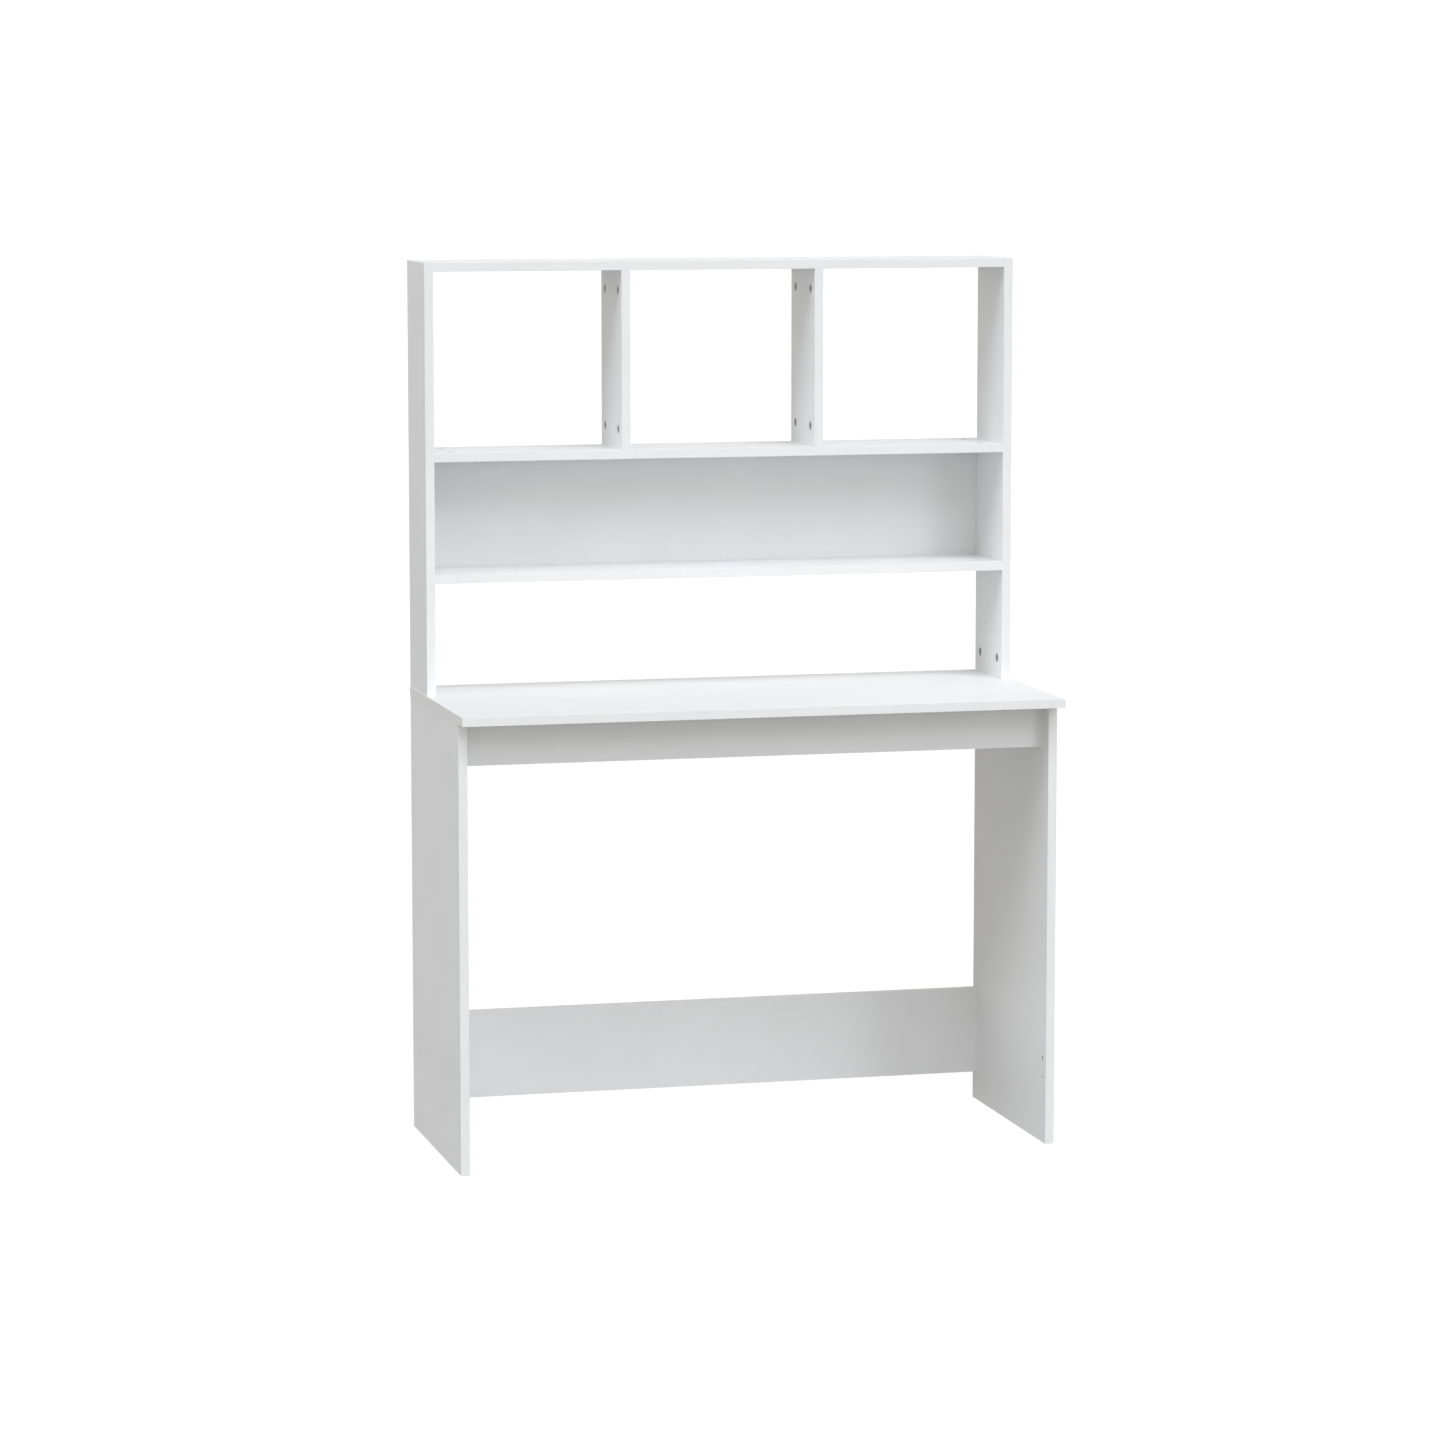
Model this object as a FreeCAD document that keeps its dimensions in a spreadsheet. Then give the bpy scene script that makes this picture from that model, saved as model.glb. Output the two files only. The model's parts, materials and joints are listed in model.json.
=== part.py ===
import FreeCAD, Part
import Sketcher
import os

# A flat-pack student desk with an open shelf unit (hutch) standing on its desktop.
#
# Two leg panels carry the desktop, and an apron and a modesty panel keep them upright. Two hutch
# sides stand on the desktop over the legs and hold a top, two shelves and two dividers. These
# twelve boards are faced particle board with tape on the edges that show, held by cam locks, cam
# bolts and wooden dowels. A thin sheet nailed to the rear edges closes the back of one bay.
#
# Frame: millimetres, +X to the user's right, +Y away from the user, +Z up. The origin is on the
# floor, under the centre of the space that the whole desk takes up, from the desktop's front edge
# to the nail heads at the back. Each board's own origin is its left, front, bottom corner.

# ------------------------------------------------------------------------------ driving sizes

SIZES = [
    ("desk_width", 1020, "desktop, side to side"),
    ("desk_depth", 450, "desktop, front to back"),
    ("desk_height", 760, "floor to the top of the desktop"),
    ("hutch_height", 720, "desktop to the top of the hutch"),
    ("hutch_depth", 150, "hutch boards, front to back"),
    ("board", 15, "thickness of every faced board"),
    ("side_overhang", 1, "desktop past the outer face of each leg"),
    ("front_overhang", 40, "desktop past the front edges of the legs"),
    ("apron_height", 73, "board under the desktop's front"),
    ("apron_setback", 30, "apron behind the front edges of the legs"),
    ("modesty_height", 150, "low board at the back of the legs"),
    ("modesty_lift", 50, "modesty panel above the floor"),
    ("modesty_setback", 11, "modesty panel ahead of the rear edges of the legs"),
    ("modesty_row_rise", 2.5, "modesty panel's bolts and dowels, above the middle of its height"),
    ("upper_bay", 300, "clear height of the three top compartments"),
    ("back_sheet", 3, "thickness of the hutch's back sheet"),
    ("back_lap", 10, "back sheet over the boards around its opening"),
    ("tape", 0.8, "thickness of the edge tape"),
    ("tape_round", 0.4, "radius on the tape's long outer edges"),
    ("cam_diameter", 14.8, "cam lock"),
    ("cam_height", 12, "cam lock"),
    ("cam_cross_length", 6.6, "arms of the cross in the cam lock's driver face, tip to tip"),
    ("cam_cross_width", 1.4, "width of those arms"),
    ("cam_cross_depth", 2.2, "depth of the cross"),
    ("cam_rim_bevel", 0.4, "bevel round the cam lock's driver face"),
    ("cam_arrow_base", 4.3, "straight end of the arrow on the driver face, from its centre"),
    ("cam_arrow_tip", 6.3, "tip of the arrow, from the centre"),
    ("cam_arrow_width", 2, "width of the arrow's straight end"),
    ("cam_arrow_depth", 0.3, "depth of the arrow"),
    ("cam_grip", 3.1, "inside of the cam lock's wall that grips the bolt's head, from its centre"),
    ("cam_bore", 15, "diameter of the hole that a cam lock sits in"),
    ("cam_bore_depth", 12.5, "depth of that hole"),
    ("cam_reach", 34, "cam lock's centre from the end of its board"),
    ("cam_margin", 27, "outer bolt rows from the front and rear of the hutch boards"),
    ("bolt_bore", 8, "hole along a board for the bolt's shank"),
    ("bolt_collar", 7.6, "diameter of the bolt's collar"),
    ("bolt_collar_height", 2.5, "length of the bolt's collar"),
    ("bolt_shank", 6, "diameter of the bolt's shank"),
    ("bolt_shank_end", 8.4, "end of the shank, short of the cam lock's centre"),
    ("bolt_neck", 4, "diameter of the bolt's neck"),
    ("bolt_neck_start", 7.6, "start of the neck, short of the cam lock's centre"),
    ("bolt_neck_end", 3, "end of the neck, short of the cam lock's centre"),
    ("bolt_head", 7, "diameter of the bolt's head"),
    ("bolt_head_start", 2.5, "full width of the head, short of the cam lock's centre"),
    ("bolt_head_end", 3, "end of the head, past the cam lock's centre"),
    ("bolt_head_bevel", 1, "bevel at the end of the head"),
    ("thread_diameter", 5, "screwed end of the bolt"),
    ("thread_length", 11, "screwed end of the bolt"),
    ("thread_bevel", 1.2, "bevel at the tip of the screwed end"),
    ("thread_bore_depth", 11.6, "hole for the screwed end"),
    ("dowel_diameter", 8, "wooden dowel"),
    ("dowel_bevel", 1, "bevel at both ends of the dowel"),
    ("dowel_in_face", 10, "dowel's length in the board that is met"),
    ("dowel_in_end", 20, "dowel's length in the board that meets it"),
    ("fit_gap", 0.2, "play on a diameter, or at the bottom of a hole"),
    ("leg_row_margin", 57, "outer bolt rows from the front and rear of the legs"),
    ("pair_pitch", 32, "a bolt from the dowel beside it"),
    ("apron_dowel_reach", 200, "dowels on top of the apron, from the middle"),
    ("nail_diameter", 1.6, "nail's shank"),
    ("nail_length", 20, "nail under its head"),
    ("nail_point", 3, "length of the nail's point"),
    ("nail_head", 4.4, "diameter of the nail's head"),
    ("nail_head_height", 0.7, "thickness of the nail's head"),
    ("nail_head_bevel", 0.6, "bevel round the top of the nail's head"),
    ("nail_pitch", 160, "nails along the top and bottom of the back sheet"),
]
HALF_ROW_OF_NAILS = 3  # nails each side of the middle one, along the top and bottom
ROUGH = 10.0  # sketches are drawn about this size first, and their constraints then place them
CLOSE = 1e-6  # two lengths or places nearer than this are the same

# -------------------------------------------------------------- places worked out from the sizes
# These are expressions that the document works out from the sheet.

BEHIND = "Sizes.back_sheet + Sizes.nail_head_height"  # what stands out behind the rear edges
REAR = f"(Sizes.desk_depth - ({BEHIND})) / 2"  # rear edges of the desktop, legs and hutch boards
DESK_FRONT = f"-(Sizes.desk_depth + {BEHIND}) / 2"
LEG_DEPTH = "Sizes.desk_depth - Sizes.front_overhang"
LEG_FRONT = f"{REAR} - ({LEG_DEPTH})"
HUTCH_FRONT = f"{REAR} - Sizes.hutch_depth"
LEG_TOP = "Sizes.desk_height - Sizes.board"
OUTER = "Sizes.desk_width / 2 - Sizes.side_overhang"  # outer faces of the sides, from the middle
INNER = f"{OUTER} - Sizes.board"  # inner faces of the sides, from the middle
SIDE_MIDDLE = f"{OUTER} - Sizes.board / 2"
SPAN = f"2 * ({INNER})"
SHELF_GAP = "(Sizes.hutch_height - 3 * Sizes.board - Sizes.upper_bay) / 2"
LOWER_SHELF = f"Sizes.desk_height + {SHELF_GAP}"
UPPER_SHELF = f"{LOWER_SHELF} + Sizes.board + {SHELF_GAP}"
HUTCH_TOP = "Sizes.desk_height + Sizes.hutch_height - Sizes.board"
BAY_WIDTH = f"({SPAN} - 2 * Sizes.board) / 3"
BAY_CENTRE = f"({BAY_WIDTH} + Sizes.board) / 2"  # middle of a divider, from the desk's middle
APRON_FRONT = f"{LEG_FRONT} + Sizes.apron_setback"
APRON_BOTTOM = f"{LEG_TOP} - Sizes.apron_height"
APRON_MIDDLE = f"{APRON_FRONT} + Sizes.board / 2"
APRON_CENTRE = f"{APRON_BOTTOM} + Sizes.apron_height / 2"
MODESTY_MIDDLE = f"{REAR} - Sizes.modesty_setback - Sizes.board / 2"
MODESTY_ROW = "Sizes.modesty_lift + Sizes.modesty_height / 2 + Sizes.modesty_row_rise"
HUTCH_ROWS = [f"{REAR} - Sizes.cam_margin", f"{HUTCH_FRONT} + Sizes.cam_margin"]
HUTCH_DOWEL_ROW = [f"{REAR} - Sizes.hutch_depth / 2"]
LEG_ROWS = [f"{REAR} - Sizes.leg_row_margin", f"{LEG_FRONT} + Sizes.leg_row_margin"]
LEG_DOWEL_ROWS = [f"{LEG_ROWS[0]} - Sizes.pair_pitch", f"{LEG_ROWS[1]} + Sizes.pair_pitch"]
DOWEL_HOLE = "Sizes.dowel_diameter + Sizes.fit_gap"
THREAD_HOLE = "Sizes.thread_diameter + Sizes.fit_gap"

RIGHT, LEFT = FreeCAD.Vector(1, 0, 0), FreeCAD.Vector(-1, 0, 0)
BACK, FORWARD = FreeCAD.Vector(0, 1, 0), FreeCAD.Vector(0, -1, 0)
UP, DOWN = FreeCAD.Vector(0, 0, 1), FreeCAD.Vector(0, 0, -1)
FACING = {"left": LEFT, "right": RIGHT, "front": FORWARD, "rear": BACK, "bottom": DOWN, "top": UP}
OPPOSITE = {"left": "right", "right": "left", "bottom": "top", "top": "bottom"}
AXIS = {"left": 0, "right": 0, "front": 1, "rear": 1, "bottom": 2, "top": 2}
LOW_FACES = ("left", "front", "bottom")  # the faces that hold a board's own origin

doc = FreeCAD.newDocument("student_desk_with_hutch")
nodes = []  # every object that is written to a file
groups = {}  # name of a group of like pieces -> the pieces


def fill_sheet():
    """Puts the driving sizes in the document, each with its name and meaning."""
    sheet = doc.addObject("Spreadsheet::Sheet", "Sizes")
    for row, (alias, value, meaning) in enumerate(SIZES, start=1):
        sheet.set(f"A{row}", meaning)
        sheet.set(f"B{row}", str(value))
        sheet.setAlias(f"B{row}", alias)
    doc.recompute()


# ------------------------------------------------------------------------------ sketch helpers


def new_body(name):
    """An empty PartDesign body whose label is its name."""
    body = doc.addObject("PartDesign::Body", name)
    body.Label = name
    return body


def new_sketch(body, name, role, lift="0"):
    """A sketch on one of the body's own origin planes, moved along that plane's normal by lift."""
    sketch = body.newObject("Sketcher::SketchObject", name)
    plane = next(item for item in body.Origin.OriginFeatures if item.Role == role)
    sketch.AttachmentSupport = (plane, [""])
    sketch.MapMode = "FlatFace"
    sketch.setExpression("AttachmentOffset.Base.z", lift)
    return sketch


def bind_point(sketch, geometry, point, across, up):
    """Ties a point of a sketch to two expressions, measured from the sketch's origin."""
    start = sketch.getPoint(geometry, point)
    for kind, value, expression in (("DistanceX", start.x, across), ("DistanceY", start.y, up)):
        index = sketch.addConstraint(Sketcher.Constraint(kind, -1, 1, geometry, point, value))
        sketch.setExpression(f"Constraints[{index}]", expression)


def draw_outline(sketch, corners):
    """A closed outline of straight lines, with every corner bound to its expressions."""
    count = len(corners)
    turns = [FreeCAD.Rotation(UP, 360.0 * number / count) for number in range(count)]
    ring = [turn.multVec(RIGHT) * ROUGH for turn in turns]
    for number in range(count):
        sketch.addGeometry(Part.LineSegment(ring[number], ring[(number + 1) % count]), False)
    for number in range(count):
        sketch.addConstraint(Sketcher.Constraint("Coincident", number, 2, (number + 1) % count, 1))
    for number, (across, up) in enumerate(corners):
        bind_point(sketch, number, 1, across, up)


def draw_rectangle(sketch, low, high):
    """A rectangle between two opposite corners."""
    draw_outline(sketch, [low, (high[0], low[1]), high, (low[0], high[1])])


def draw_circles(sketch, centres, diameter):
    """Circles of one diameter around the given centres."""
    for number, (across, up) in enumerate(centres, start=1):
        start = FreeCAD.Vector(ROUGH, ROUGH, 0) * number
        circle = sketch.addGeometry(Part.Circle(start, UP, ROUGH / 4), False)
        bind_point(sketch, circle, 3, across, up)
        index = sketch.addConstraint(Sketcher.Constraint("Diameter", circle, ROUGH / 2))
        sketch.setExpression(f"Constraints[{index}]", diameter)


def pad(body, name, sketch, length):
    """Grows a sketch along its normal."""
    feature = body.newObject("PartDesign::Pad", name)
    feature.Profile = sketch
    feature.setExpression("Length", length)
    doc.recompute()
    return feature


def pocket(body, name, sketch, depth, with_normal=False):
    """Cuts a sketch into the body, against its normal or along it, and proves that it cut."""
    before = body.Shape.Volume
    feature = body.newObject("PartDesign::Pocket", name)
    feature.Profile = sketch
    feature.Reversed = with_normal
    feature.setExpression("Length", depth)
    doc.recompute()
    if not body.Shape.Volume < before:
        raise RuntimeError(f"{body.Label}: {name} cuts nothing")
    return feature


def revolve(body, name, corners):
    """Turns an outline once around the body's own X axis; each corner is (along X, radius)."""
    sketch = new_sketch(body, f"{name}_outline", "XZ_Plane")
    draw_outline(sketch, corners)
    feature = body.newObject("PartDesign::Revolution", name)
    feature.Profile = sketch
    feature.ReferenceAxis = (sketch, ["H_Axis"])
    feature.Angle = 360
    doc.recompute()
    return feature


# -------------------------------------------------------------------------------------- boards


class Board:
    """A rectangular board with taped edges, placed by its left, front, bottom corner."""

    def __init__(self, name, size, corner, taped=()):
        self.name = name
        self.size = size
        self.corner = corner
        self.taped = taped
        low, high = self.bare_box()
        self.body = self.slab(name, low, high)
        self.tapes = {edge: self.add_tape(edge) for edge in taped}
        nodes.append(self.body)
        if taped:
            groups[f"{name}_edge_tape"] = list(self.tapes.values())

    def bare_box(self):
        """The board without its tape, as its two opposite corners."""
        low = ["0", "0", "0"]
        high = list(self.size)
        for edge in self.taped:
            axis = AXIS[edge]
            if edge in LOW_FACES:
                low[axis] = "Sizes.tape"
            else:
                high[axis] = f"{self.size[axis]} - Sizes.tape"
        return low, high

    def slab(self, name, low, high):
        """A body between two opposite corners, given in the board's own frame."""
        body = new_body(name)
        sketch = new_sketch(body, f"{name}_plan", "XY_Plane", low[2])
        draw_rectangle(sketch, low[:2], high[:2])
        pad(body, f"{name}_pad", sketch, f"({high[2]}) - ({low[2]})")
        for axis, place in zip("xyz", self.corner):
            body.setExpression(f"Placement.Base.{axis}", place)
        return body

    def add_tape(self, edge):
        """The strip on one edge. Front and rear strips run the full length, past the others."""
        low, high = self.bare_box()
        if edge in ("front", "rear"):
            low = ["0", "0", "0"]
            high = list(self.size)
        axis = AXIS[edge]
        if edge in LOW_FACES:
            low[axis] = "0"
            high[axis] = "Sizes.tape"
        else:
            low[axis] = f"{self.size[axis]} - Sizes.tape"
            high[axis] = self.size[axis]
        strip = self.slab(f"{self.name}_{edge}_tape", low, high)
        round_outer_edges(strip, FACING[edge])
        return strip

    def face(self, name):
        """One face of the whole board: its origin plane, the plane's lift, whether a cut runs with
        the plane's normal, and which two of the desk's axes lie in it."""
        wide, deep, tall = self.size
        return {
            "left": ("YZ_Plane", "0", True, (1, 2)),
            "right": ("YZ_Plane", wide, False, (1, 2)),
            "front": ("XZ_Plane", "0", False, (0, 2)),
            "rear": ("XZ_Plane", f"-({deep})", True, (0, 2)),
            "bottom": ("XY_Plane", "0", True, (0, 1)),
            "top": ("XY_Plane", tall, False, (0, 1)),
        }[name]

    def drill(self, name, face, places, diameter, depth):
        """Square-ended holes into one face, at places given in the desk's frame."""
        role, lift, with_normal, axes = self.face(face)
        centres = [[f"({place[axis]}) - ({self.corner[axis]})" for axis in axes] for place in places]
        drilled = [self.body]
        if face in self.tapes:
            drilled.append(self.tapes[face])
        for body in drilled:
            sketch = new_sketch(body, f"{body.Name}_{name}_layout", role, lift)
            draw_circles(sketch, centres, diameter)
            pocket(body, f"{body.Name}_{name}", sketch, depth, with_normal)


def round_outer_edges(strip, facing):
    """Rounds the two long edges of a tape strip that lie on its outer face."""
    outer = max(strip.Shape.Faces, key=lambda face: face.CenterOfMass.dot(facing))
    longest = max(edge.Length for edge in outer.Edges)
    middles = [edge.CenterOfMass for edge in outer.Edges if edge.Length > longest - CLOSE]
    names = []
    for number, edge in enumerate(strip.Shape.Edges, start=1):
        if any(edge.CenterOfMass.isEqual(middle, CLOSE) for middle in middles):
            names.append(f"Edge{number}")
    square = strip.Tip
    fillet = strip.newObject("PartDesign::Fillet", f"{strip.Name}_round")
    fillet.Base = (square, names)
    fillet.setExpression("Radius", "Sizes.tape_round")
    doc.recompute()


def make_boards():
    """The thirteen boards, by name."""
    leg = ("Sizes.board", LEG_DEPTH, LEG_TOP)
    side = ("Sizes.board", "Sizes.hutch_depth", "Sizes.hutch_height")
    shelf = (SPAN, "Sizes.hutch_depth", "Sizes.board")
    divider = ("Sizes.board", "Sizes.hutch_depth", "Sizes.upper_bay")
    desktop = ("Sizes.desk_width", "Sizes.desk_depth", "Sizes.board")
    apron = (SPAN, "Sizes.board", "Sizes.apron_height")
    modesty = (SPAN, "Sizes.board", "Sizes.modesty_height")
    left_x = f"-({OUTER})"
    right_x = INNER
    span_x = f"-({INNER})"
    divider_z = f"{UPPER_SHELF} + Sizes.board"
    modesty_y = f"{MODESTY_MIDDLE} - Sizes.board / 2"
    both = ("front", "rear")
    boards = [
        Board("desktop_panel", desktop, ("-Sizes.desk_width / 2", DESK_FRONT, LEG_TOP),
              ("left", "right", "front", "rear")),
        Board("left_leg_panel", leg, (left_x, LEG_FRONT, "0"), both),
        Board("right_leg_panel", leg, (right_x, LEG_FRONT, "0"), both),
        Board("front_apron", apron, (span_x, APRON_FRONT, APRON_BOTTOM), ("bottom",)),
        Board("modesty_panel", modesty, (span_x, modesty_y, "Sizes.modesty_lift"), ("bottom", "top")),
        Board("hutch_left_side", side, (left_x, HUTCH_FRONT, "Sizes.desk_height"), both + ("top",)),
        Board("hutch_right_side", side, (right_x, HUTCH_FRONT, "Sizes.desk_height"), both + ("top",)),
        Board("hutch_top_panel", shelf, (span_x, HUTCH_FRONT, HUTCH_TOP), both),
        Board("upper_shelf", shelf, (span_x, HUTCH_FRONT, UPPER_SHELF), both),
        Board("lower_shelf", shelf, (span_x, HUTCH_FRONT, LOWER_SHELF), both),
        Board("left_divider", divider, (f"-({BAY_CENTRE}) - Sizes.board / 2", HUTCH_FRONT, divider_z), both),
        Board("right_divider", divider, (f"{BAY_CENTRE} - Sizes.board / 2", HUTCH_FRONT, divider_z), both),
        Board("hutch_back_panel",
              (f"{SPAN} + 2 * Sizes.back_lap", "Sizes.back_sheet", f"{SHELF_GAP} + 2 * Sizes.back_lap"),
              (f"{span_x} - Sizes.back_lap", REAR, f"{LOWER_SHELF} + Sizes.board - Sizes.back_lap")),
    ]
    return {board.name: board for board in boards}


# ------------------------------------------------------------------------- patterns of hardware
# Each fastener is modelled once and linked to wherever it is used. A bolt, dowel or nail lies
# along its own X axis and crosses the joint, or meets the back sheet, at its own origin.


def make_cam_lock():
    """A cam lock turned tight, with its driver face up and the bolt's neck through its -X side.

    Its origin is on its axis, in the face of the board that it sits in. The bolt's head came in
    from the +Y side, where the arrow on the driver face points, and a slot as high as the neck
    leads from there to the -X side, where the wall on both sides of the slot holds the head in
    the chamber."""
    body = new_body("cam_lock")
    barrel = new_sketch(body, "cam_barrel_plan", "XY_Plane", "-Sizes.cam_bore_depth")
    draw_circles(barrel, [("0", "0")], "Sizes.cam_diameter")
    pad(body, "cam_barrel", barrel, "Sizes.cam_height")
    bevel_top_rim(body, "Sizes.cam_rim_bevel")

    half_way = "-Sizes.board / 2"  # bolts lie half way through the board
    head_room = "Sizes.bolt_head + Sizes.fit_gap"
    neck_room = "Sizes.bolt_neck + 2 * Sizes.fit_gap"
    chamber_end = "Sizes.bolt_head_end + Sizes.fit_gap"
    chamber = new_sketch(body, "cam_chamber_plan", "YZ_Plane", chamber_end)
    draw_circles(chamber, [("0", half_way)], head_room)
    pocket(body, "cam_chamber", chamber, f"{chamber_end} + Sizes.cam_grip")
    way = new_sketch(body, "cam_head_way_plan", "XZ_Plane")
    draw_circles(way, [("0", half_way)], head_room)
    pocket(body, "cam_head_way", way, "Sizes.cam_diameter")
    slot = new_sketch(body, "cam_neck_slot_plan", "XY_Plane", f"{half_way} + ({neck_room}) / 2")
    draw_rectangle(slot, ("-Sizes.cam_diameter", f"-({neck_room}) / 2"), ("0", "Sizes.cam_diameter"))
    pocket(body, "cam_neck_slot", slot, neck_room)

    driver_face = "Sizes.cam_height - Sizes.cam_bore_depth"
    arm = ("Sizes.cam_cross_length / 2", "Sizes.cam_cross_width / 2")
    for name, (half_wide, half_tall) in (("cam_cross_one", arm), ("cam_cross_two", arm[::-1])):
        cross = new_sketch(body, f"{name}_plan", "XY_Plane", driver_face)
        draw_rectangle(cross, (f"-{half_wide}", f"-{half_tall}"), (half_wide, half_tall))
        pocket(body, name, cross, "Sizes.cam_cross_depth")

    arrow = new_sketch(body, "cam_arrow_plan", "XY_Plane", driver_face)
    draw_outline(arrow, [
        ("-Sizes.cam_arrow_width / 2", "Sizes.cam_arrow_base"),
        ("Sizes.cam_arrow_width / 2", "Sizes.cam_arrow_base"),
        ("0", "Sizes.cam_arrow_tip"),
    ])
    pocket(body, "cam_arrow", arrow, "Sizes.cam_arrow_depth")
    return body


def bevel_top_rim(barrel, size):
    """Bevels the upper rim of a plain upright barrel."""
    edges = barrel.Shape.Edges
    rim = max(range(len(edges)), key=lambda number: edges[number].CenterOfMass.z)
    square = barrel.Tip
    bevel = barrel.newObject("PartDesign::Chamfer", f"{barrel.Name}_rim_bevel")
    bevel.Base = (square, [f"Edge{rim + 1}"])
    bevel.setExpression("Size", size)
    doc.recompute()


def make_cam_bolt():
    """A cam bolt: screw thread, collar, shank, neck and the head that the cam grips."""
    body = new_body("cam_bolt")
    thread = "Sizes.thread_diameter / 2"
    collar = "Sizes.bolt_collar / 2"
    shank = "Sizes.bolt_shank / 2"
    neck = "Sizes.bolt_neck / 2"
    head = "Sizes.bolt_head / 2"
    reach = "Sizes.cam_reach"
    end = f"{reach} + Sizes.bolt_head_end"
    revolve(body, "cam_bolt_turned", [
        ("-Sizes.thread_length", "0"),
        ("-Sizes.thread_length", f"{thread} - Sizes.thread_bevel"),
        ("-Sizes.thread_length + Sizes.thread_bevel", thread),
        ("0", thread),
        ("0", collar),
        ("Sizes.bolt_collar_height", collar),
        ("Sizes.bolt_collar_height", shank),
        (f"{reach} - Sizes.bolt_shank_end", shank),
        (f"{reach} - Sizes.bolt_neck_start", neck),
        (f"{reach} - Sizes.bolt_neck_end", neck),
        (f"{reach} - Sizes.bolt_head_start", head),
        (f"{end} - Sizes.bolt_head_bevel", head),
        (end, f"{head} - Sizes.bolt_head_bevel"),
        (end, "0"),
    ])
    return body


def make_dowel():
    """A wooden dowel with bevelled ends."""
    body = new_body("dowel")
    radius = "Sizes.dowel_diameter / 2"
    tip_radius = f"{radius} - Sizes.dowel_bevel"
    revolve(body, "dowel_turned", [
        ("-Sizes.dowel_in_face", "0"),
        ("-Sizes.dowel_in_face", tip_radius),
        ("-Sizes.dowel_in_face + Sizes.dowel_bevel", radius),
        ("Sizes.dowel_in_end - Sizes.dowel_bevel", radius),
        ("Sizes.dowel_in_end", tip_radius),
        ("Sizes.dowel_in_end", "0"),
    ])
    return body


def make_nail():
    """A flat-headed nail that points along +X, with the underside of its head at its origin."""
    body = new_body("nail")
    shank = "Sizes.nail_diameter / 2"
    head = "Sizes.nail_head / 2"
    revolve(body, "nail_turned", [
        ("-Sizes.nail_head_height", "0"),
        ("-Sizes.nail_head_height", f"{head} - Sizes.nail_head_bevel"),
        ("-Sizes.nail_head_height / 2", head),
        ("0", head),
        ("0", shank),
        ("Sizes.nail_length - Sizes.nail_point", shank),
        ("Sizes.nail_length", "0"),
    ])
    return body


def put(group, master, place, rotation):
    """Adds one linked copy of a fastener to a group, at a place given by three expressions."""
    copies = groups.setdefault(group, [])
    link = doc.addObject("App::Link", f"{group}_{len(copies) + 1}")
    link.LinkedObject = master
    link.Placement = FreeCAD.Placement(FreeCAD.Vector(), rotation)
    for axis, expression in zip("xyz", place):
        link.setExpression(f"Placement.Base.{axis}", expression)
    copies.append(link)


def moved(place, direction, distance):
    """A place moved by an expression along one of the desk's axes."""
    steps = (direction.x, direction.y, direction.z)
    return [f"{here} + {step:g} * ({distance})" if step else here for here, step in zip(place, steps)]


# -------------------------------------------------------------------------------------- joints


class Joint:
    """Where the end of one board meets the face of another, both drilled for the same hardware."""

    def __init__(self, name, meeting, end, met, hardware):
        self.name = name
        self.meeting = meeting  # the board whose end meets the other
        self.end = end  # which end of it
        self.met = met  # the board whose face is met
        self.hardware = hardware
        self.face = OPPOSITE[end]  # the face that is met looks back at the end that meets it
        self.inwards = FACING[end] * -1  # from the joint into the board that meets it

    def cams(self, places, mouth):
        """Bolts screwed into the met board, each pulled by a cam lock in the meeting board."""
        centres = [moved(place, self.inwards, "Sizes.cam_reach") for place in places]
        self.met.drill(f"{self.name}_thread", self.face, places, THREAD_HOLE, "Sizes.thread_bore_depth")
        self.meeting.drill(f"{self.name}_shank", self.end, places, "Sizes.bolt_bore", "Sizes.cam_reach")
        self.meeting.drill(f"{self.name}_cam", mouth, centres, "Sizes.cam_bore", "Sizes.cam_bore_depth")
        facing = FACING[mouth]
        for place, centre in zip(places, centres):
            in_face = self.in_face(centre, mouth)
            turned = FreeCAD.Rotation(self.inwards, facing.cross(self.inwards), facing, "ZXY")
            put(f"{self.hardware}_cam_locks", masters["cam_lock"], in_face, turned)
            along = FreeCAD.Rotation(RIGHT, self.inwards)
            put(f"{self.hardware}_cam_bolts", masters["cam_bolt"], place, along)

    def in_face(self, centre, mouth):
        """The same point, in the plane of the face that the cam lock is sunk into."""
        axis = AXIS[mouth]
        point = list(centre)
        point[axis] = self.meeting.corner[axis]
        if mouth not in LOW_FACES:
            point[axis] = f"{self.meeting.corner[axis]} + {self.meeting.size[axis]}"
        return point

    def dowels(self, places):
        """Dowels, each in a hole in both boards."""
        in_face = "Sizes.dowel_in_face + Sizes.fit_gap"
        in_end = "Sizes.dowel_in_end + Sizes.fit_gap"
        self.met.drill(f"{self.name}_dowel", self.face, places, DOWEL_HOLE, in_face)
        self.meeting.drill(f"{self.name}_dowel_end", self.end, places, DOWEL_HOLE, in_end)
        along = FreeCAD.Rotation(RIGHT, self.inwards)
        for place in places:
            put(f"{self.hardware}_dowels", masters["dowel"], place, along)


def join_legs():
    """The desktop on its two legs, fastened from inside the knee space."""
    for side, sign, mouth in (("left", "-", "right"), ("right", "", "left")):
        leg = boards[f"{side}_leg_panel"]
        joint = Joint(f"{side}_leg", leg, "top", boards["desktop_panel"], "leg_top")
        middle = f"{sign}({SIDE_MIDDLE})"
        joint.cams([(middle, row, LEG_TOP) for row in LEG_ROWS], mouth)
        joint.dowels([(middle, row, LEG_TOP) for row in LEG_DOWEL_ROWS])


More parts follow.
